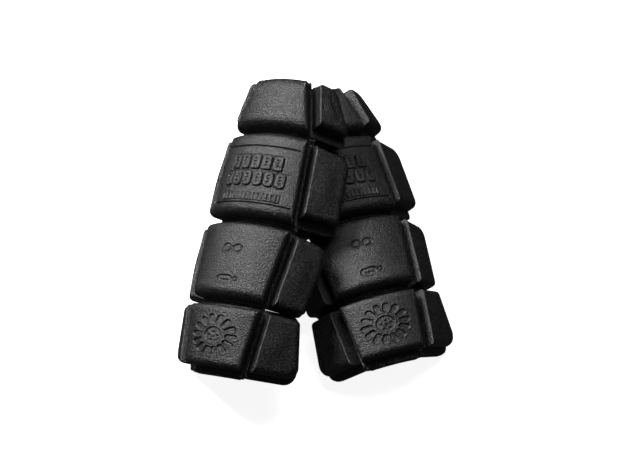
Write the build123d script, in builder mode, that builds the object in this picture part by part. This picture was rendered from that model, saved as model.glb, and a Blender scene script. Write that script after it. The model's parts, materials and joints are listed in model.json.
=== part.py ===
from build123d import *
import os
from math import asin, cos, degrees, radians, sin, sqrt

# A pair of moulded foam knee pads, the left one lying partly on the right one.
# Each pad is four rows of raised blocks, a centre block and a wing on each side, on a thin
# flange, with a second foam layer (the liner) bonded behind it.  The creases between the
# blocks are the pad's living hinges, so each cell is a block piece and a liner piece.

# Driving dimensions, in millimetres and degrees.  Rows count from the top (thigh end).
ROW_LENGTHS = (49.5, 76.0, 67.0, 57.0)
ROW_BENDS = (2.0, 0.0, 7.0)  # turn towards the knee at the creases 1-2, 2-3 and 3-4
CENTRE_HALF_WIDTHS = (20.5, 31.0, 34.0, 28.5, 22.5)  # at the five ends of the rows
WING_TOP_WIDTHS = (21.5, 37.0, 33.5, 30.0)  # from the side crease out, upper edge
WING_BOTTOM_WIDTHS = (34.5, 36.0, 32.5, 45.0)  # the same along the lower edge
WING_SLOPES = (56.5, 54.0, 55.0, 50.0)  # fall of each wing below level
BASE_RADIUS = 54.0  # outer face of the flange, curved across the pad
BLOCK_HEIGHT = 12.5
FLANGE_THICKNESS = 2.0
LINER_THICKNESS = 5.5
ROW_CREASE = 2.0  # gap between the flanges of two rows at the centre
SIDE_CREASE = 1.4  # gap between a centre flange and its wing's flange
BLOCK_SETBACK = 1.3  # from a side crease to the foot of a centre block
BLOCK_END_SETBACK = 2.6  # the same from the creases between rows, at the centre line
BLOCK_DRAFT = 8.0  # lean of the centre blocks' walls
WING_SETBACK = 1.8  # from the side crease to a wing's block
WING_INSET = 2.0  # from the flange's upper and outer edges to a wing's block
WING_LIPS = (6.0, 6.0, 2.0, 6.0)  # the same from its lower edge, each row
END_LIP = 6.0  # the same from the lower end of the pad to the last centre block
WING_END_GAPS = ((1.0, 3.0), (3.0, 3.0), (3.0, 1.2), (1.2, 1.0))  # upper, lower, each row
WING_END_SLANTS = ((0.0, 3.0), (3.5, 3.0), (3.5, 1.6), (1.6, 1.0))  # more at the outer end
TOP_CORNER_RADII = (12.0, 12.0, 10.0, 6.0)  # outer corners of the wings, each row
BOTTOM_CORNER_RADII = (5.0, 6.0, 5.0, 10.0)
SHOULDER = (35.0, 24.0)  # the top wings reach this far out, this far below their top
SHOULDER_RADIUS = 22.0
TOP_CHAMFER = 3.0  # upper edges of the blocks
CREASE_OVERRUN = 12.0  # wing outlines start this far inside the crease, then are cut
RIM = 1.5  # flange and liner stand out this far past the blocks at the open edges
OVERRUN = 10.0  # how far a cell's stock goes past its row at each end, before it is cut

# Where the pads lie: crease 3-4 at its middle, on the flange's outer face.
RIGHT_ORIGIN = (47.53, -59.18, 46.95)
RIGHT_TURNS = (15.0, -1.1, 0.0)  # yaw, pitch up, roll raising the pad's right side
LEFT_ORIGIN = (-67.9, -73.2, 67.19)
LEFT_TURNS = (-13.3, 7.1, 25.8)

SIDES = {"left_wing": -1, "right_wing": 1}


def pad_plane(origin, turns):
    """The pad's frame: X across it, Y up it along row 3, Z out of its face."""
    yaw, pitch, roll = (radians(turn) for turn in turns)
    up = Vector(-sin(yaw) * cos(pitch), cos(yaw) * cos(pitch), sin(pitch))
    level = Vector(cos(yaw), sin(yaw), 0)
    face = level.cross(up)
    across = level * cos(roll) + face * sin(roll)
    return Plane(origin=origin, x_dir=across, z_dir=across.cross(up))


def sag(half_width):
    """How far the flange has curved down at this distance from the centre line."""
    return BASE_RADIUS - sqrt(BASE_RADIUS**2 - half_width**2)


def row_planes(pad):
    """Each row's frame, its origin on the row's lower crease, in the pad's frame."""
    bend_12, bend_23, bend_34 = ROW_BENDS
    tilts = (-bend_12 - bend_23, -bend_23, 0.0, bend_34)
    ends = {3: (0.0, 0.0)}
    ends[2] = (ROW_LENGTHS[2], 0.0)
    for row in (1, 0):
        y, z = ends[row + 1]
        tilt = radians(tilts[row])
        ends[row] = (y + ROW_LENGTHS[row] * cos(tilt), z + ROW_LENGTHS[row] * sin(tilt))
    tilt = radians(bend_34)
    ends[4] = (-ROW_LENGTHS[3] * cos(tilt), -ROW_LENGTHS[3] * sin(tilt))
    planes = []
    for row in range(4):
        y, z = ends[row + 1]
        tilt = radians(tilts[row])
        local = Plane((0, y, z), x_dir=(1, 0, 0), z_dir=(0, -sin(tilt), cos(tilt)))
        planes.append(Plane(pad.location * local.location))
    return planes


def in_frame(frame, origin, x_dir, z_dir):
    """A plane given in another plane's coordinates."""
    return Plane(frame.location * Plane(origin, x_dir=x_dir, z_dir=z_dir).location)


def side_crease(row, side):
    """Lower and upper end of a side crease, on the flange's face, in the row's frame."""
    high, low = CENTRE_HALF_WIDTHS[row : row + 2]
    return (
        Vector(side * low, 0, -sag(low)),
        Vector(side * high, ROW_LENGTHS[row], -sag(high)),
    )


def side_cut(frame, row, side, lean, shift):
    """Plane through a side crease, its wall leaning out from the row's normal."""
    low, high = side_crease(row, side)
    up = (high - low).normalized()
    wall = Vector(side * sin(radians(lean)), 0, cos(radians(lean)))
    normal = up.cross(wall).normalized() * side
    return in_frame(frame, low + normal * shift, up, normal)


def end_cut(frame, row, upper, lean, shift):
    """Plane across the row at one end, facing out of the row."""
    way = 1 if upper else -1
    bends = (0.0,) + ROW_BENDS + (0.0,)
    tilt = radians(bends[row if upper else row + 1] / 2 - lean)
    normal = Vector(0, way * cos(tilt), -sin(tilt))
    origin = Vector(0, ROW_LENGTHS[row] if upper else 0, 0) + normal * shift
    return in_frame(frame, origin, (1, 0, 0), normal)


def edge_angle(row):
    """Slope of the flange where it meets the wing, halfway up the row."""
    return degrees(asin(sum(CENTRE_HALF_WIDTHS[row : row + 2]) / 2 / BASE_RADIUS))


def centre_layer(frame, row, bottom, top, side_lean, side_shift, end_lean, end_shifts):
    """A curved layer of a centre cell between two heights, cut to the row's outline."""
    across = in_frame(frame, (0, -OVERRUN, 0), (1, 0, 0), (0, 1, 0))
    with BuildPart() as layer:
        with BuildSketch(across) as ring:
            with Locations((0, BASE_RADIUS)):
                Circle(BASE_RADIUS + top)
                Circle(BASE_RADIUS + bottom, mode=Mode.SUBTRACT)
                Rectangle(
                    2 * BASE_RADIUS,
                    2 * BASE_RADIUS,
                    align=(Align.CENTER, Align.MAX),
                    mode=Mode.INTERSECT,
                )
        extrude(amount=ROW_LENGTHS[row] + 2 * OVERRUN)
        for side in (-1, 1):
            split(bisect_by=side_cut(frame, row, side, side_lean, -side_shift), keep=Keep.BOTTOM)
        for upper, shift in zip((True, False), end_shifts):
            split(bisect_by=end_cut(frame, row, upper, end_lean, -shift), keep=Keep.BOTTOM)
    return layer.part


def centre_cell(frame, row):
    """The block with its flange, and the liner panel, of a row's centre."""
    mitre = (edge_angle(row) + WING_SLOPES[row]) / 2
    wall = edge_angle(row) - BLOCK_DRAFT / 2
    crease = [ROW_CREASE / 2, ROW_CREASE / 2]
    setback = [BLOCK_END_SETBACK, BLOCK_END_SETBACK]
    if row == 0:
        crease[0] = 0.0
        setback = [RIM, BLOCK_SETBACK]
    if row == 3:
        crease[1] = 0.0
        setback[1] = END_LIP
    with BuildPart() as body:
        add(centre_layer(frame, row, 0, BLOCK_HEIGHT, wall, BLOCK_SETBACK, BLOCK_DRAFT, setback))
        face = body.faces().filter_by(GeomType.CYLINDER).sort_by(lambda f: f.radius)[-1]
        chamfer(face.edges(), TOP_CHAMFER)
        add(centre_layer(frame, row, -FLANGE_THICKNESS, 0, mitre, SIDE_CREASE / 2, 0, crease))
    bottom = -FLANGE_THICKNESS - LINER_THICKNESS
    with BuildPart() as liner:
        add(centre_layer(frame, row, bottom, -FLANGE_THICKNESS, mitre, SIDE_CREASE / 2, 0, crease))
    return body.part, liner.part


def wing_plane(frame, row, side):
    """The wing's frame on the flange's face: Y up its crease, Z out of its face."""
    low, high = side_crease(row, side)
    up = (high - low).normalized()
    slope = radians(WING_SLOPES[row])
    out = Vector(cos(slope), 0, -side * sin(slope))
    out = (out - up * out.dot(up)).normalized()
    return in_frame(frame, low, out, out.cross(up))


def wing_outline(frame, row, side, plane, raised):
    """Outer corners of a wing's flange or raised block in its own plane, with their radii."""
    inset, lip = (WING_INSET, WING_LIPS[row]) if raised else (0.0, 0.0)
    slope = radians(WING_SLOPES[row])
    out = Vector(side * cos(slope), 0, -sin(slope))
    low, high = side_crease(row, side)
    top_gap, bottom_gap = WING_END_GAPS[row]
    top_slant, bottom_slant = WING_END_SLANTS[row]
    bottom = low + out * (WING_BOTTOM_WIDTHS[row] - inset)
    bottom += Vector(0, bottom_gap + lip + bottom_slant, 0)
    top = high + out * (WING_TOP_WIDTHS[row] - inset)
    top -= Vector(0, top_gap + inset + top_slant, 0)
    corners = [(bottom, BOTTOM_CORNER_RADII[row]), (top, TOP_CORNER_RADII[row])]
    if row == 0:
        width, down = SHOULDER
        shoulder = high + out * (width - inset) - Vector(0, down, 0)
        corners.insert(1, (shoulder, SHOULDER_RADIUS))
    inner_bottom = low + Vector(0, bottom_gap + lip, 0) - out * CREASE_OVERRUN
    inner_top = high - Vector(0, top_gap + inset, 0) - out * CREASE_OVERRUN
    corners = [(inner_bottom, 0.0), *corners, (inner_top, 0.0)]
    if side < 0:
        corners.reverse()
    local = [(plane.to_local_coords(frame.from_local_coords(p)), r) for p, r in corners]
    return [((p.X, p.Y), r) for p, r in local]


def wing_layer(frame, row, side, plane, bottom, top, raised):
    """A flat layer of a wing between two heights above the flange's face."""
    corners = wing_outline(frame, row, side, plane, raised)
    with BuildPart() as layer:
        with BuildSketch(plane.offset(bottom)) as outline:
            with BuildLine():
                Polyline(*(point for point, _ in corners), close=True)
            make_face()
            for point, radius in corners:
                if radius:
                    fillet(outline.vertices().sort_by_distance((*point, 0))[0], radius)
            if raised:
                with Locations((side * WING_SETBACK, ROW_LENGTHS[row] / 2)):
                    Rectangle(
                        max(ROW_LENGTHS),
                        2 * max(ROW_LENGTHS),
                        align=(Align.MIN if side > 0 else Align.MAX, Align.CENTER),
                        mode=Mode.INTERSECT,
                    )
        extrude(amount=top - bottom)
        if not raised:
            mitre = (edge_angle(row) + WING_SLOPES[row]) / 2
            split(bisect_by=side_cut(frame, row, side, mitre, SIDE_CREASE / 2), keep=Keep.TOP)
    return layer.part


def wing_cell(frame, row, side):
    """The block with its flange, and the liner panel, of a wing."""
    plane = wing_plane(frame, row, side)
    bottom = -FLANGE_THICKNESS - LINER_THICKNESS
    with BuildPart() as body:
        add(wing_layer(frame, row, side, plane, 0, BLOCK_HEIGHT, True))
        top = body.faces().filter_by(plane).sort_by(Axis(plane.origin, plane.z_dir))[-1]
        chamfer(top.edges(), TOP_CHAMFER)
        add(wing_layer(frame, row, side, plane, -FLANGE_THICKNESS, 0, False))
    with BuildPart() as liner:
        add(wing_layer(frame, row, side, plane, bottom, -FLANGE_THICKNESS, False))
    return body.part, liner.part


def build_pad(name, pad):
    """All the cells of one pad, in place, by node name."""
    cells = {}
    for row, frame in enumerate(row_planes(pad)):
        for side_name, side in SIDES.items():
            block, liner = wing_cell(frame, row, side)
            cells[f"{name}_row{row + 1}_{side_name}_block"] = block
            cells[f"{name}_row{row + 1}_{side_name}_liner"] = liner
        block, liner = centre_cell(frame, row)
        cells[f"{name}_row{row + 1}_centre_block"] = block
        cells[f"{name}_row{row + 1}_centre_liner"] = liner
    return cells


def main():
    os.makedirs("parts", exist_ok=True)
    nodes = build_pad("right_pad", pad_plane(RIGHT_ORIGIN, RIGHT_TURNS))
    nodes.update(build_pad("left_pad", pad_plane(LEFT_ORIGIN, LEFT_TURNS)))
    for name, part in nodes.items():
        part.label = name
        export_step(part, f"parts/{name}.step")
    box = Compound(children=list(nodes.values())).bounding_box()
    print("nodes", len(nodes), "box", box.min, box.max)


main()
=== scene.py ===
import json
import math

import bpy
import numpy as np
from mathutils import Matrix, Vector


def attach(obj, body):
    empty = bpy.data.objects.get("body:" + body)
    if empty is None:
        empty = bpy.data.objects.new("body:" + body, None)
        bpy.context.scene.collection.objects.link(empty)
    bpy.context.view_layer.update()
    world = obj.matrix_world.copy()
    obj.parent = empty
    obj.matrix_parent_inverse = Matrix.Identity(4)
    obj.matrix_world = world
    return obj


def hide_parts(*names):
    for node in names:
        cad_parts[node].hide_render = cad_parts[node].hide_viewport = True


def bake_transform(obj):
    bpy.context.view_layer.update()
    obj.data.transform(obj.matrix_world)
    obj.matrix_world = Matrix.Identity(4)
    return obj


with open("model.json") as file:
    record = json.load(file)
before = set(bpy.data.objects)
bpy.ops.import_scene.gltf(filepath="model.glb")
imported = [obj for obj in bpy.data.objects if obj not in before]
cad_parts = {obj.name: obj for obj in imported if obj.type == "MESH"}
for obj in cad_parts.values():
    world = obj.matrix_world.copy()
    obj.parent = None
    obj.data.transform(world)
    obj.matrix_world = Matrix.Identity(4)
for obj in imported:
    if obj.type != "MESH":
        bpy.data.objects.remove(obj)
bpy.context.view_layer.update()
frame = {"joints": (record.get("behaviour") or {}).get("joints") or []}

# ---------------------------------------------------------------- driving dimensions
# Millimetres and degrees. Rows count from the top, and wings from the side crease out.
MM = 0.001
SIDES = {"left_wing": -1, "right_wing": 1}

# The same as the CAD part's.
ROW_LENGTHS = (49.5, 76.0, 67.0, 57.0)
ROW_BENDS = (2.0, 0.0, 7.0)
CENTRE_HALF_WIDTHS = (20.5, 31.0, 34.0, 28.5, 22.5)
WING_TOP_WIDTHS = (21.5, 37.0, 33.5, 30.0)
WING_BOTTOM_WIDTHS = (34.5, 36.0, 32.5, 45.0)
WING_SLOPES = (56.5, 54.0, 55.0, 50.0)
WING_END_GAPS = ((1.0, 3.0), (3.0, 3.0), (3.0, 1.2), (1.2, 1.0))
WING_END_SLANTS = ((0.0, 3.0), (3.5, 3.0), (3.5, 1.6), (1.6, 1.0))
TOP_CORNER_RADII = (12.0, 12.0, 10.0, 6.0)
BOTTOM_CORNER_RADII = (5.0, 6.0, 5.0, 10.0)
SHOULDER = (35.0, 24.0)
CREASE_OVERRUN = 12.0
RADIUS = 54.0
HEIGHT = 12.5
FLANGE = 2.0
LINER = 5.5
ROW_GAP = 1.0  # from a cross crease to a flange
SIDE_GAP = 0.7  # from a side crease to a flange
SETBACK = 1.3  # from a side crease to a centre block's foot
END_SETBACK = 2.6  # from a cross crease to a centre block's foot
RIM = 1.5
ROW_HINGE_DEPTH = 9.0  # how far the cross creases' axes lie below the flange's face

# Where the foam's soft edges part a little from the CAD's plain ones.
SHOULDER_RADIUS = 26.0
INNER_CORNER_RADIUS = 1.5
TOP_WING_INNER_RADIUS = 6.0
CENTRE_CORNER_RADII = (1.5, 1.5, 1.5, 1.5)
TOP_CENTRE_CORNER_RADII = (1.5, 1.5, 4.0, 4.0)
WING_SETBACK = 1.6  # from the side crease to a wing block's foot
WING_INSET = 1.6  # from a wing's outer and upper edge to its block's foot
WING_LIPS = (5.5, 5.5, 1.0, 5.0)  # from a wing's lower edge to its block's foot
END_LIP = 5.5  # the same for the last centre block
TOP_RIM = RIM + 0.3  # the same for the first centre block's upper edge
OPEN_RIM = 0.4  # how far a flange's open edges stay inside the CAD's
# Insets of each row's wing flanges at the lower and upper edge. Below nought they reach
# out over the notch to the next wing, as the moulded lips do.
WING_RIMS = ((-1.0, 0.4), (-1.3, -0.8), (-0.8, -1.3), (0.4, -0.8))
BLOCK_LEAN = 1.0  # how far a centre block's walls lean in over their whole height
WING_LEAN = 0.6  # the same for a wing's block
CENTRE_CROWN = 0.7  # how much the middle of a block's top stands up
WING_CROWN = 0.9
LINER_ROUND = 1.6  # rounding of the liner's back edges
LINER_FULLNESS = 0.6  # how much the liner's back is fuller in its middle
WEB_TAIL = 4.5  # how far a cross web reaches into the notch between two wings
WEB_OVERHANG = 0.8  # the same where the wings nearly meet
WEB_FLARE = 1.1  # share by which a web is wider at the end of its tail
WEB_END = 0.6  # from a side web's ends to the ends of its crease

FINE_SPACING = 0.36  # between mesh points on the centre blocks with relief
PLAIN_SPACING = 1.0
LINER_SPACING = 1.8

# How each block's top edge is rounded: (width, height) for its lower, outer, upper and
# inner edges. A centre block's outer and inner edges are its right and left ones.
CENTRE_EDGES = (
    ((9.0, 9.5), (4.0, 4.6), (17.0, 9.5), (4.5, 5.0)),
    ((8.5, 9.0), (3.0, 3.6), (9.0, 7.0), (4.0, 4.6)),
    ((7.5, 8.5), (3.6, 4.4), (9.0, 6.5), (4.4, 5.0)),
    ((6.0, 7.5), (3.4, 4.2), (5.0, 4.5), (4.0, 4.6)),
)
WING_EDGES = (
    ((6.0, 7.5), (6.5, 7.5), (5.0, 6.5), (1.6, 1.6)),
    ((6.0, 7.5), (6.5, 7.5), (5.5, 6.0), (1.5, 1.5)),
    ((4.5, 5.5), (6.5, 7.5), (5.5, 6.0), (1.5, 1.5)),
    ((6.5, 8.0), (6.5, 7.5), (3.5, 4.0), (1.5, 1.5)),
)
ARC_STEPS = 8  # between two points, round each corner of an outline
LEAST_RADIUS = 0.8  # of an outline's corners once they are inset
ROUNDING_STEPS = 9  # up the rounded top edge of a block


def unit(v):
    v = np.asarray(v, float)
    return v / np.linalg.norm(v)


# ---------------------------------------------------------------- frames of the rows
class Frame:
    """An origin and three axes, in millimetres in the row frame."""

    def __init__(self, origin, x, y, z):
        self.origin, self.x, self.y, self.z = (np.asarray(v, float) for v in (origin, x, y, z))

    def at(self, points):
        p = np.atleast_2d(points)
        return self.origin + p[:, :1] * self.x + p[:, 1:2] * self.y + p[:, 2:3] * self.z

    def way(self, v):
        return v[0] * self.x + v[1] * self.y + v[2] * self.z


def pad_rows(pad):
    """The four rows' frames, from where the pad's crease joints are."""
    joints = {j["name"]: j for j in frame["joints"]}
    lower = joints[f"{pad}_row3_crease"]
    upper = joints[f"{pad}_row1_crease"]
    across = unit(lower["axis"])
    start = np.array(lower["pos_m"]) / MM
    along = np.array(upper["pos_m"]) / MM - start
    along = unit(along - across * along.dot(across))
    face = np.cross(across, along)
    b12, b23, b34 = (math.radians(b) for b in ROW_BENDS)
    tilts = (-b12 - b23, -b23, 0.0, b34)
    way = [along * math.cos(t) + face * math.sin(t) for t in tilts]
    crease_23 = start + face * ROW_HINGE_DEPTH
    crease_12 = crease_23 + way[1] * ROW_LENGTHS[1]
    crease_34 = crease_23 - way[2] * ROW_LENGTHS[2]
    end = crease_34 - way[3] * ROW_LENGTHS[3]
    origins = (crease_12, crease_23, crease_34, end)
    return [Frame(o, across, w, np.cross(across, w)) for o, w in zip(origins, way)]


def sag(w):
    return RADIUS - math.sqrt(RADIUS**2 - w**2)


def arc(w):
    return RADIUS * math.asin(w / RADIUS)


def edge_angle(row):
    return math.asin(sum(CENTRE_HALF_WIDTHS[row : row + 2]) / 2 / RADIUS)


def crease_ends(row, side):
    high, low = CENTRE_HALF_WIDTHS[row : row + 2]
    return (
        np.array((side * low, 0.0, -sag(low))),
        np.array((side * high, ROW_LENGTHS[row], -sag(high))),
    )


def wing_frame(rowframe, row, side):
    """Origin at the crease's lower end, X outward, Y up the crease, Z out of the face."""
    low, high = crease_ends(row, side)
    up = unit(high - low)
    slope = math.radians(WING_SLOPES[row])
    out = np.array((side * math.cos(slope), 0.0, -math.sin(slope)))
    out = unit(out - up * out.dot(up))
    normal = np.cross(out, up) * side
    return Frame(rowframe.at(low)[0], rowframe.way(out), rowframe.way(up), rowframe.way(normal))


def wing_corners(row):
    """A wing's outline on its own frame, from its lower inner corner round to its upper one."""
    low, high = crease_ends(row, 1)
    up = unit(high - low)
    slope = math.radians(WING_SLOPES[row])
    out = np.array((math.cos(slope), 0.0, -math.sin(slope)))
    square = unit(out - up * out.dot(up))
    (top_gap, bottom_gap), (top_slant, bottom_slant) = WING_END_GAPS[row], WING_END_SLANTS[row]

    def flat(p):
        return np.array(((p - low).dot(square), (p - low).dot(up)))

    def at_crease(inner, outer):
        return inner + (outer - inner) * (-inner[0] / (outer[0] - inner[0]))

    rise = np.array((0.0, 1.0, 0.0))
    bottom = flat(low + out * WING_BOTTOM_WIDTHS[row] + rise * (bottom_gap + bottom_slant))
    top = flat(high + out * WING_TOP_WIDTHS[row] - rise * (top_gap + top_slant))
    inner_bottom = flat(low + rise * bottom_gap - out * CREASE_OVERRUN)
    inner_top = flat(high - rise * top_gap - out * CREASE_OVERRUN)
    corners = [at_crease(inner_bottom, bottom), bottom]
    radii = [INNER_CORNER_RADIUS, BOTTOM_CORNER_RADII[row]]
    if row == 0:
        corners.append(flat(high + out * SHOULDER[0] - rise * SHOULDER[1]))
        radii.append(SHOULDER_RADIUS)
    corners += [top, at_crease(inner_top, top)]
    radii += [TOP_CORNER_RADII[row], INNER_CORNER_RADIUS if row else TOP_WING_INNER_RADIUS]
    return corners, radii


# ---------------------------------------------------------------- closed rounded panels
def outline(corners, insets, radii, steps):
    """Points round a polygon whose edges move in by insets and whose corners are rounded.

    It starts halfway round corner 0. Every call with the same steps gives as many points.
    Also returns, for each point, its share of each edge, for values that vary by edge.
    """
    corners = np.asarray(corners, float)
    count = len(corners)
    ways = [unit(corners[(i + 1) % count] - corners[i]) for i in range(count)]
    starts = [corners[i] + insets[i] * np.array((-ways[i][1], ways[i][0])) for i in range(count)]
    moved = []
    for i in range(count):
        a, b = ways[i - 1], ways[i]
        gap = starts[i] - starts[i - 1]
        along = (gap[0] * b[1] - gap[1] * b[0]) / (a[0] * b[1] - a[1] * b[0])
        moved.append(starts[i - 1] + a * along)
    arcs = []
    for i in range(count):
        a, b = ways[i - 1], ways[i]
        turn = math.atan2(a[0] * b[1] - a[1] * b[0], a.dot(b))
        room = 0.48 * min(
            np.linalg.norm(moved[i] - moved[i - 1]),
            np.linalg.norm(moved[(i + 1) % count] - moved[i]),
        )
        tangent = min(radii[i] * math.tan(turn / 2), room)
        radius = tangent / math.tan(turn / 2)
        centre = moved[i] - a * tangent + radius * np.array((-a[1], a[0]))
        begin = math.atan2(a[1], a[0]) - math.pi / 2
        angles = begin + turn * np.linspace(0, 1, ARC_STEPS + 1)
        arcs.append(centre + radius * np.stack((np.cos(angles), np.sin(angles)), 1))
    points, shares = [], []
    for i in range(count):
        arc_points, after = arcs[i], arcs[(i + 1) % count][0]
        for k, p in enumerate(arc_points):
            share = np.zeros(count)
            t = k / ARC_STEPS
            share[i - 1] += 1 - t
            share[i] += t
            points.append(p)
            shares.append(share)
        for k in range(1, steps[i]):
            share = np.zeros(count)
            share[i] = 1.0
            points.append(arc_points[-1] + (after - arc_points[-1]) * k / steps[i])
            shares.append(share)
    half = ARC_STEPS // 2
    return np.roll(np.array(points), -half, 0), np.roll(np.array(shares), -half, 0)


class Panel:
    """A closed mesh made of rings round one outline, with a grid inside the last ring."""

    def __init__(self, corners, radii, steps, place, mirrored):
        self.corners, self.radii, self.steps = corners, radii, steps
        self.place, self.mirrored = place, mirrored
        self.points, self.faces, self.last, self.count = [], [], None, 0

    def add(self, flat, height):
        height = np.broadcast_to(height, (len(flat),))
        self.points.append(np.column_stack((flat, height)))
        self.count += len(flat)
        return np.arange(self.count - len(flat), self.count)

    def ring(self, insets, height, corner_loss):
        """A ring at one height, or at heights that vary by edge, joined to the last one."""
        radii = [max(r - corner_loss, LEAST_RADIUS) for r in self.radii]
        flat, shares = outline(self.corners, insets, radii, self.steps)
        height = height(shares) if callable(height) else height
        now = self.add(flat, height)
        if self.last is not None:
            a, b = self.last, now
            self.faces += np.stack((a, np.roll(a, -1), np.roll(b, -1), b), 1).tolist()
        self.last = now

    def sides(self):
        """How many steps the four logical sides have. A fifth corner is within side 1."""
        s = list(self.steps)
        if len(s) == 5:
            s = [s[0], s[1] + ARC_STEPS + s[2], s[3], s[4]]
        return s[0] + ARC_STEPS, s[1] + ARC_STEPS

    def lid(self, step=1, bulge=0.0, relief=None, under=False):
        """Fills the last ring with a grid of every step-th point, bulging along the height."""
        across, along = self.sides()
        ring = self.last
        n, m = across // step, along // step
        flat = np.concatenate(self.points)[ring]
        bottom = flat[0 : across + 1 : step]
        right = flat[across : across + along + 1 : step]
        top = flat[across + along : 2 * across + along + 1 : step][::-1]
        left = np.concatenate((flat[2 * across + along :: step], flat[:1]))[::-1]
        s = np.linspace(0, 1, n + 1)[None, :, None]
        t = np.linspace(0, 1, m + 1)[:, None, None]
        grid = (
            (1 - t) * bottom[None] + t * top[None] + (1 - s) * left[:, None] + s * right[:, None]
            - (1 - s) * (1 - t) * bottom[0] - s * (1 - t) * bottom[-1]
            - (1 - s) * t * top[0] - s * t * top[-1]
        )
        lift = bulge * ((1 - (2 * s[..., 0] - 1) ** 2) * (1 - (2 * t[..., 0] - 1) ** 2)) ** 2
        if relief is not None:
            lift = lift + relief(grid[..., 0], grid[..., 1])
        grid[..., 2] += lift
        inner = grid[1:-1, 1:-1].reshape(-1, 3)
        numbers = np.zeros((m + 1, n + 1), int)
        numbers[0] = ring[0 : across + 1 : step]
        numbers[:, -1] = ring[across : across + along + 1 : step]
        numbers[-1] = ring[across + along : 2 * across + along + 1 : step][::-1]
        numbers[:, 0] = np.concatenate((ring[2 * across + along :: step], ring[:1]))[::-1]
        numbers[1:-1, 1:-1] = self.add(inner[:, :2], inner[:, 2]).reshape(m - 1, n - 1)
        if step == 1:
            quads = np.stack(
                (numbers[:-1, :-1], numbers[:-1, 1:], numbers[1:, 1:], numbers[1:, :-1]), -1
            ).reshape(-1, 4)
            faces = quads.tolist()
        else:
            faces = []
            total = len(ring)
            for j in range(m):
                for i in range(n):
                    loop = [numbers[j, i]]
                    if j == 0:
                        loop += list(ring[i * step + 1 : (i + 1) * step])
                    loop.append(numbers[j, i + 1])
                    if i == n - 1:
                        first = across + j * step
                        loop += list(ring[first + 1 : first + step])
                    loop.append(numbers[j + 1, i + 1])
                    if j == m - 1:
                        first = across + along + (n - 1 - i) * step
                        loop += list(ring[first + 1 : first + step])
                    loop.append(numbers[j + 1, i])
                    if i == 0:
                        first = 2 * across + along + (m - 1 - j) * step
                        loop += [ring[k % total] for k in range(first + 1, first + step)]
                    faces.append([int(v) for v in loop])
        if under:
            faces = [f[::-1] for f in faces]
        self.faces += faces

    def finish(self, name, material):
        points = self.place(np.concatenate(self.points)) * MM
        faces = [f[::-1] for f in self.faces] if self.mirrored else self.faces
        return new_mesh(name, points, faces, material)


def new_mesh(name, points, faces, material):
    mesh = bpy.data.meshes.new(name)
    mesh.from_pydata(points.tolist(), [], faces)
    mesh.validate()
    mesh.shade_smooth()
    mesh.materials.append(material)
    piece = bpy.data.objects.new(name, mesh)
    bpy.context.scene.collection.objects.link(piece)
    return piece


# ---------------------------------------------------------------- moulded relief
def soft_step(distance, soft):
    """1 inside a shape, 0 outside, over a soft wall."""
    t = np.clip(0.5 - distance / (2 * soft), 0, 1)
    return t * t * (3 - 2 * t)


def slab(x, y, centre, half, corner):
    dx = np.abs(x - centre[0]) - half[0] + corner
    dy = np.abs(y - centre[1]) - half[1] + corner
    return np.hypot(np.maximum(dx, 0), np.maximum(dy, 0)) + np.minimum(np.maximum(dx, dy), 0) - corner


def stroke(x, y, a, b):
    """Distance to the line from a to b."""
    ax, ay = b[0] - a[0], b[1] - a[1]
    t = np.clip(((x - a[0]) * ax + (y - a[1]) * ay) / (ax * ax + ay * ay), 0, 1)
    return np.hypot(x - a[0] - t * ax, y - a[1] - t * ay)


# Each relief is a height over a centre block's top, x across from its centre line and y up
# from its lower crease. Soft steps take a distance and the width of their wall.
MARK_X = 1.0  # middle of the framed marks
TILE_PITCH = 7.7
RIB_PITCH = 3.05
PETALS = 14
ROSETTE = (0.0, 30.0)


def relief_row2(x, y):
    """An engraved frame round two rows of raised, dimpled tiles and a ribbed bar."""
    lift = -1.3 * soft_step(np.abs(slab(x, y, (MARK_X, 36.5), (31.0, 24.0), 2.0)) - 0.45, 0.35)
    for line, (middle, count) in enumerate(((46.4, 5), (32.6, 6))):
        for i in range(count):
            cx = MARK_X + (i - (count - 1) / 2) * TILE_PITCH
            tile = slab(x, y, (cx, middle), (3.1, 5.8), 2.4 if line else 1.4)
            lift += 1.1 * soft_step(tile, 0.3)
            lift -= 0.6 * soft_step(np.abs(tile - 0.75) - 0.25, 0.3)
            for dy in (-2.6, 0.0, 2.6):
                dimple = np.hypot(x - cx, (y - middle - dy) * 1.1)
                lift -= 0.9 * soft_step(dimple - 0.85, 0.3)
    bar = slab(x, y, (MARK_X, 17.8), (21.5, 3.2), 1.2)
    lift += 0.8 * soft_step(bar, 0.35)
    for i in range(14):
        cx = MARK_X + (i - 6.5) * RIB_PITCH
        lift -= 0.8 * soft_step(stroke(x, y, (cx, 15.6), (cx, 20.0)) - 0.45, 0.3)
    return lift


def relief_row3(x, y):
    """Engraved rings, an engraved capsule with dots, and a faint line near the upper edge."""
    lift = -0.35 * soft_step(stroke(x, y, (-20.0, 57.2), (20.0, 57.2)) - 0.3, 0.3)
    for cx in (-3.7, 3.7):
        r = np.hypot(x - cx, y - 41.0)
        lift -= 1.0 * soft_step(np.abs(r - 2.9) - 0.6, 0.3)
        lift += 0.3 * soft_step(np.abs(r - 4.2) - 0.2, 0.4)
    mark = stroke(x, y, (-3.4, 16.0), (1.6, 16.2)) - 3.0
    lift -= 0.9 * soft_step(mark, 0.3)
    lift += 0.3 * soft_step(np.abs(mark - 0.7) - 0.2, 0.4)
    for cx in (-3.3, -0.9, 1.5):
        lift += 0.8 * soft_step(np.hypot(x - cx, y - 16.1) - 0.7, 0.3)
    second = np.hypot(x - 7.0, y - 16.6)
    lift -= 0.9 * soft_step(np.abs(second - 1.5) - 0.5, 0.3)
    return lift


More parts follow.
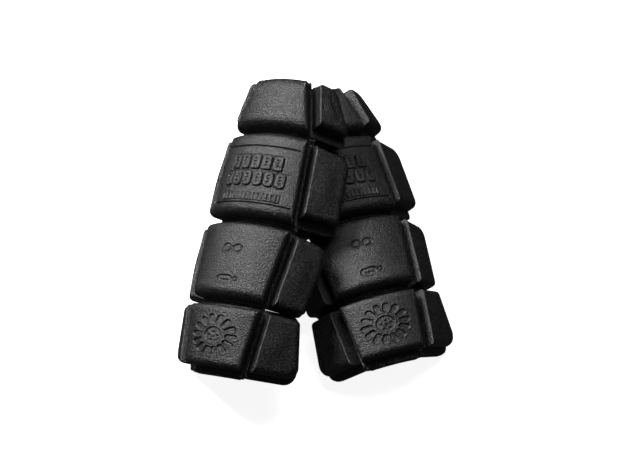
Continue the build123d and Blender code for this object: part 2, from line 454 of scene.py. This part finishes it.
def relief_row4(x, y):
    """A round rosette of engraved petals about a hub."""
    dx, dy = x - ROSETTE[0], y - ROSETTE[1]
    r, angle = np.hypot(dx, dy), np.arctan2(dy, dx)
    pitch = 2 * math.pi / PETALS
    folded = np.mod(angle + pitch / 2, pitch) - pitch / 2
    px, py = r * np.cos(folded), r * np.sin(folded)
    petal = stroke(px, py, (10.4, 0.0), (14.2, 0.0)) - 1.75 - 0.05 * (px - 10.4)
    lift = -1.1 * soft_step(petal, 0.35)
    lift += 0.3 * soft_step(np.abs(petal - 0.75) - 0.2, 0.4)
    hub = r - 6.1
    lift -= 0.95 * soft_step(hub, 0.35)
    lift += 0.3 * soft_step(np.abs(hub - 0.8) - 0.2, 0.4)
    for k in range(5):
        a = k * 2 * math.pi / 5 + 0.3
        lift += 0.8 * soft_step(np.hypot(dx - 3.4 * math.cos(a), dy - 3.4 * math.sin(a)) - 0.9, 0.3)
    lift += 0.8 * soft_step(r - 1.1, 0.3)
    return lift


RELIEFS = {1: relief_row2, 2: relief_row3, 3: relief_row4}

# ---------------------------------------------------------------- materials
FOAM_IOR = 1.45
GRAIN_SCALE = 800.0
MOTTLE_SCALE = 60.0
GRAIN_DEPTH = 0.0013
DARK_GRAIN, PALE_GRAIN = 0.3, 7.0  # shares of the foam's colour
SHEEN_SPREAD = 0.06


def foam(name, colour, roughness, grain, specular):
    """Dark closed-cell foam: fine grain, soft mottling, and a slightly uneven sheen."""
    material = bpy.data.materials.new(name)
    material.use_nodes = True
    nodes, links = material.node_tree.nodes, material.node_tree.links
    shader = nodes["Principled BSDF"]
    shader.inputs["IOR"].default_value = FOAM_IOR
    shader.inputs["Specular IOR Level"].default_value = specular
    place = nodes.new("ShaderNodeTexCoord")

    def noise(scale, detail, rough):
        node = nodes.new("ShaderNodeTexNoise")
        node.inputs["Scale"].default_value = scale
        node.inputs["Detail"].default_value = detail
        node.inputs["Roughness"].default_value = rough
        links.new(place.outputs["Object"], node.inputs["Vector"])
        return node.outputs["Fac"]

    fine = noise(GRAIN_SCALE, 2.0, 0.65)
    broad = noise(MOTTLE_SCALE, 3.0, 0.55)
    shade = nodes.new("ShaderNodeValToRGB")
    shade.color_ramp.elements[0].position = 0.45
    shade.color_ramp.elements[1].position = 0.7
    shade.color_ramp.elements[0].color = (*[c * DARK_GRAIN for c in colour], 1)
    shade.color_ramp.elements[1].color = (*[c * PALE_GRAIN for c in colour], 1)
    links.new(fine, shade.inputs["Fac"])
    links.new(shade.outputs["Color"], shader.inputs["Base Color"])
    gloss = nodes.new("ShaderNodeMapRange")
    gloss.inputs["To Min"].default_value = roughness - SHEEN_SPREAD
    gloss.inputs["To Max"].default_value = roughness + SHEEN_SPREAD
    links.new(broad, gloss.inputs["Value"])
    links.new(gloss.outputs["Result"], shader.inputs["Roughness"])
    bump = nodes.new("ShaderNodeBump")
    bump.inputs["Strength"].default_value = grain
    bump.inputs["Distance"].default_value = GRAIN_DEPTH
    links.new(fine, bump.inputs["Height"])
    links.new(bump.outputs["Normal"], shader.inputs["Normal"])
    return material


shell_foam = foam("shell_foam", (0.006, 0.006, 0.0063), 0.34, 0.7, 0.55)
liner_foam = foam("liner_foam", (0.006, 0.006, 0.0065), 0.6, 0.5, 0.3)


# ---------------------------------------------------------------- the pads' cells
def superellipse(t, power=2.3):
    """From the wall (0, 0) to the top (1, 1) of a rounded edge."""
    angle = t * math.pi / 2
    return 1 - math.cos(angle) ** (2 / power), math.sin(angle) ** (2 / power)


def even(length, spacing):
    """Steps along an edge: a multiple of ARC_STEPS."""
    return ARC_STEPS * max(1, round(length / spacing / ARC_STEPS))


def block_panel(corners, radii, steps, place, mirrored, flange, foot, draft, edges, crown, relief):
    """A block on its flange. flange and foot are insets of every edge."""
    panel = Panel(corners, radii, steps, place, mirrored)
    lip = 0.45
    panel.ring([f + lip for f in flange], -FLANGE, 0.3)
    first = panel.last
    panel.lid(step=ARC_STEPS, under=True)
    panel.last = first
    panel.ring([f + 0.12 for f in flange], -FLANGE + 0.12, 0.0)
    panel.ring(flange, -FLANGE + lip, 0.0)
    panel.ring(flange, -lip - 0.2, 0.0)
    panel.ring([f + 0.16 for f in flange], -0.16, 0.1)
    panel.ring([f + 0.5 for f in flange], 0.0, 0.3)
    base = [max(f - 0.7, g + 0.55) for f, g in zip(foot, flange)]
    panel.ring(base, 0.02, 0.8)
    panel.ring([f - 0.15 for f in foot], 0.25, 1.4)
    panel.ring(foot, 0.8, 1.6)
    widths = np.array([w for w, _ in edges])
    heights = np.array([h for _, h in edges])

    def wall_top(shares):
        return HEIGHT - shares @ heights

    lean = draft * (HEIGHT - heights) / HEIGHT
    panel.ring([f + l * 0.5 for f, l in zip(foot, lean)], lambda s: 0.8 + (wall_top(s) - 0.8) * 0.5, 1.6)
    for k in range(ROUNDING_STEPS + 1):
        x, z = superellipse(k / ROUNDING_STEPS)
        insets = [f + l + w * x for f, l, w in zip(foot, lean, widths)]
        panel.ring(insets, lambda s, z=z: HEIGHT - (s @ heights) * (1 - z), 1.6 + 2.0 * x)
    panel.lid(bulge=crown, relief=relief)
    return panel


def liner_panel(corners, radii, steps, place, mirrored, insets, leans):
    """A liner layer: soft edges, a slightly full back, mitred at the creases."""
    panel = Panel(corners, radii, steps, place, mirrored)
    top, bottom = -FLANGE, -FLANGE - LINER

    def at(h, extra):
        panel.ring([i + extra - l * h for i, l in zip(insets, leans)], h, extra)

    edge = LINER_ROUND
    at(bottom, edge)
    first = panel.last
    panel.lid(step=2, bulge=-LINER_FULLNESS, under=True)
    panel.last = first
    for k in range(1, 6):
        a = k / 5 * math.pi / 2
        at(bottom + edge * (1 - math.cos(a)), edge * (1 - math.sin(a)))
    at(top - 0.9, 0.0)
    at(top - 0.35, 0.06)
    at(top - 0.08, 0.3)
    at(top, 0.7)
    panel.lid(step=2)
    return panel


def wear(piece, body, node):
    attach(piece, body)
    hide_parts(node)


def centre_place(rowframe):
    def place(p):
        angle, reach = p[:, 0] / RADIUS, RADIUS + p[:, 2]
        local = np.column_stack((reach * np.sin(angle), p[:, 1], reach * np.cos(angle) - RADIUS))
        return rowframe.at(local)

    return place


def build_centre(pad, row, rowframe):
    """The shell and the backing of a row's centre."""
    high, low = (arc(w) for w in CENTRE_HALF_WIDTHS[row : row + 2])
    length = ROW_LENGTHS[row]
    corners = [(-low, 0.0), (low, 0.0), (high, length), (-high, length)]
    fine = FINE_SPACING if row in RELIEFS else PLAIN_SPACING
    across, along = even(low + high, fine), even(length, fine)
    steps = (across, along, across, along)
    ends = [ROW_GAP, ROW_GAP]
    feet = [END_SETBACK, END_SETBACK]
    if row == 0:
        ends[1], feet[1] = OPEN_RIM, TOP_RIM
    if row == 3:
        ends[0], feet[0] = OPEN_RIM, END_LIP
    flange = (ends[0], SIDE_GAP, ends[1], SIDE_GAP)
    foot = (feet[0], SETBACK, feet[1], SETBACK)
    body = f"{pad}_row{row + 1}"
    place = centre_place(rowframe)
    radii = CENTRE_CORNER_RADII if row else TOP_CENTRE_CORNER_RADII
    panel = block_panel(
        corners, radii, steps, place, False, flange, foot, BLOCK_LEAN,
        CENTRE_EDGES[row], CENTRE_CROWN, RELIEFS.get(row),
    )
    wear(panel.finish(f"{body}_centre_shell", shell_foam), body, f"{body}_centre_block")
    lean = math.tan((math.radians(WING_SLOPES[row]) - edge_angle(row)) / 2)
    coarse = (even(low + high, LINER_SPACING), even(length, LINER_SPACING)) * 2
    rims = [0.0 if g < ROW_GAP else g for g in ends]
    panel = liner_panel(
        corners, radii, coarse, place, False,
        (rims[0], SIDE_GAP, rims[1], SIDE_GAP), (0.0, lean, 0.0, lean),
    )
    wear(panel.finish(f"{body}_centre_backing", liner_foam), body, f"{body}_centre_liner")


def build_wing(pad, row, side_name, rowframe):
    """The shell and the backing of a wing."""
    side = SIDES[side_name]
    wing = wing_frame(rowframe, row, side)
    corners, radii = wing_corners(row)
    body = f"{pad}_row{row + 1}_{side_name}"

    def counts(spacing):
        span = [np.linalg.norm(corners[(i + 1) % len(corners)] - c) for i, c in enumerate(corners)]
        across = even(max(span[0], span[-2]), spacing)
        if row:
            along = even(span[1], spacing)
            return (across, along, across, along)
        lower, upper = even(span[1], spacing), even(span[2], spacing)
        return (across, lower, upper, across, lower + ARC_STEPS + upper)

    low_edge, outer_edge, high_edge, inner_edge = WING_EDGES[row]
    outer = (outer_edge,) * (2 if row == 0 else 1)
    edges = (low_edge, *outer, high_edge, inner_edge)
    open_edges = len(corners) - 1
    outer_rim = (OPEN_RIM,) * (open_edges - 2)
    low_rim, high_rim = WING_RIMS[row]
    panel = block_panel(
        corners, radii, counts(PLAIN_SPACING), wing.at, side < 0,
        (low_rim, *outer_rim, high_rim, SIDE_GAP),
        (WING_LIPS[row],) + (WING_INSET,) * (open_edges - 1) + (WING_SETBACK,),
        WING_LEAN, edges, WING_CROWN, None,
    )
    wear(panel.finish(f"{body}_shell", shell_foam), body, f"{body}_block")
    lean = math.tan((math.radians(WING_SLOPES[row]) - edge_angle(row)) / 2)
    panel = liner_panel(
        corners, radii, counts(LINER_SPACING), wing.at, side < 0,
        (0.0,) * open_edges + (SIDE_GAP,), (0.0,) * open_edges + (lean,),
    )
    wear(panel.finish(f"{body}_backing", liner_foam), body, f"{body}_liner")


# ---------------------------------------------------------------- webs in the creases
def web_section(gap, crown):
    """A web's outline across its crease: a thin ridge above, a groove below."""
    w = gap + 0.5
    return [
        (-w, -1.3), (-gap * 0.75, -1.2), (-0.4, -0.6), (-0.25, crown - 0.1), (0.0, crown),
        (0.25, crown - 0.1), (0.4, -0.6), (gap * 0.75, -1.2), (w, -1.3), (w, -5.6),
        (0.5, -5.8), (0.0, -5.2), (-0.5, -5.8), (-w, -5.6),
    ]


def build_web(name, section, spine, widths, place, mirrored):
    """Sweeps a section along a crease, wider or narrower."""
    points, faces = [], []
    count = len(section)
    for along, widen in zip(spine, widths):
        points += [(along, across * widen, height) for across, height in section]
    for i in range(len(spine) - 1):
        for k in range(count):
            a, b = i * count + k, i * count + (k + 1) % count
            faces.append([a, b, b + count, a + count])
    faces.append(list(range(count))[::-1])
    faces.append([(len(spine) - 1) * count + k for k in range(count)])
    if mirrored:
        faces = [f[::-1] for f in faces]
    piece = new_mesh(name, place(np.array(points, float)) * MM, faces, shell_foam)
    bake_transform(piece)


def build_row_web(pad, row, rows):
    """The web in the crease below this row."""
    upper, lower = rows[row], rows[row + 1]
    y, z = unit(upper.y + lower.y), unit(upper.z + lower.z)
    crease = Frame(upper.origin, upper.x, y, z)
    place = centre_place(crease)
    edge = arc(CENTRE_HALF_WIDTHS[row + 1])
    half = edge + (WEB_TAIL if row < 2 else WEB_OVERHANG)
    spine = np.linspace(-half, half, 61)
    widths = 1.0 + WEB_FLARE * np.maximum(np.abs(spine) - edge, 0.0) / WEB_TAIL
    start, end = (crease.origin + y * g for g in (ROW_GAP, -ROW_GAP))
    if not row:
        start, end = end, start
    build_web(
        f"{pad}_row{row + 1}_{row + 2}_web", web_section(ROW_GAP, 0.25),
        spine, widths, place,
        True,
    )


def build_side_web(pad, row, side_name, rowframe):
    """The web in the crease between a centre and its wing."""
    side = SIDES[side_name]
    low, high = crease_ends(row, side)
    up = unit(high - low)
    mitre = (math.radians(WING_SLOPES[row]) + edge_angle(row)) / 2
    wall = np.array((side * math.sin(mitre), 0.0, math.cos(mitre)))
    out = unit(np.cross(up, wall)) * side
    wall = unit(np.cross(out, up)) * side
    web = Frame(rowframe.at(low)[0], rowframe.way(up), rowframe.way(out), rowframe.way(wall))
    length = np.linalg.norm(high - low)
    body = f"{pad}_row{row + 1}"
    spine = np.linspace(WEB_END, length - WEB_END, 9)
    build_web(
        f"{body}_{side_name}_web", web_section(SIDE_GAP, 0.1), spine, np.ones(len(spine)),
        web.at,
        side > 0,
    )


for pad in ("right_pad", "left_pad"):
    rows = pad_rows(pad)
    for row, rowframe in enumerate(rows):
        build_centre(pad, row, rowframe)
        for side_name in SIDES:
            build_wing(pad, row, side_name, rowframe)
            build_side_web(pad, row, side_name, rowframe)
        if row < 3:
            build_row_web(pad, row, rows)

# ---------------------------------------------------------------- floor, light and camera
floor_mesh = bpy.data.meshes.new("floor")
floor_mesh.from_pydata([(-6, -6, 0), (6, -6, 0), (6, 6, 0), (-6, 6, 0)], [], [(0, 1, 2, 3)])
floor = bpy.data.objects.new("floor", floor_mesh)
bpy.context.scene.collection.objects.link(floor)
pale = bpy.data.materials.new("pale_floor")
pale.use_nodes = True
paint = pale.node_tree.nodes["Principled BSDF"]
paint.inputs["Base Color"].default_value = (0.9, 0.9, 0.9, 1)
paint.inputs["Roughness"].default_value = 0.9
paint.inputs["Specular IOR Level"].default_value = 0.1
paint.inputs["Emission Color"].default_value = (1, 1, 1, 1)
paint.inputs["Emission Strength"].default_value = 0.9
floor_mesh.materials.append(pale)
floor.visible_glossy = False
floor.visible_diffuse = False


def area_light(name, place, target, size, power):
    light = bpy.data.lights.new(name, "AREA")
    light.shape = "RECTANGLE"
    light.size, light.size_y = size
    light.energy = power
    lamp = bpy.data.objects.new(name, light)
    lamp.location = place
    lamp.rotation_euler = (Vector(target) - Vector(place)).to_track_quat("-Z", "Y").to_euler()
    bpy.context.scene.collection.objects.link(lamp)


area_light("key", (-0.95, 0.85, 1.15), (-0.05, 0.0, 0.05), (0.55, 0.55), 52.0)
area_light("top", (0.3, 0.9, 2.1), (0.0, 0.0, 0.0), (1.2, 0.8), 22.0)

world = bpy.data.worlds.new("studio")
world.use_nodes = True
world.node_tree.nodes["Background"].inputs["Color"].default_value = (1, 1, 1, 1)
world.node_tree.nodes["Background"].inputs["Strength"].default_value = 0.04
bpy.context.scene.world = world
bpy.context.scene.view_settings.view_transform = "Standard"

ELEVATION = math.radians(67.42)
DISTANCE = 1.02928
TARGET = Vector((-0.00035, 0.01047, 0.00019))
camera_data = bpy.data.cameras.new("camera")
camera_data.lens = 68.88
camera_data.sensor_width = 36.0
camera = bpy.data.objects.new("camera", camera_data)
camera.location = TARGET + DISTANCE * Vector((0.0, -math.cos(ELEVATION), math.sin(ELEVATION)))
camera.rotation_euler = (math.pi / 2 - ELEVATION, 0.0, 0.0)
bpy.context.scene.collection.objects.link(camera)
bpy.context.scene.camera = camera
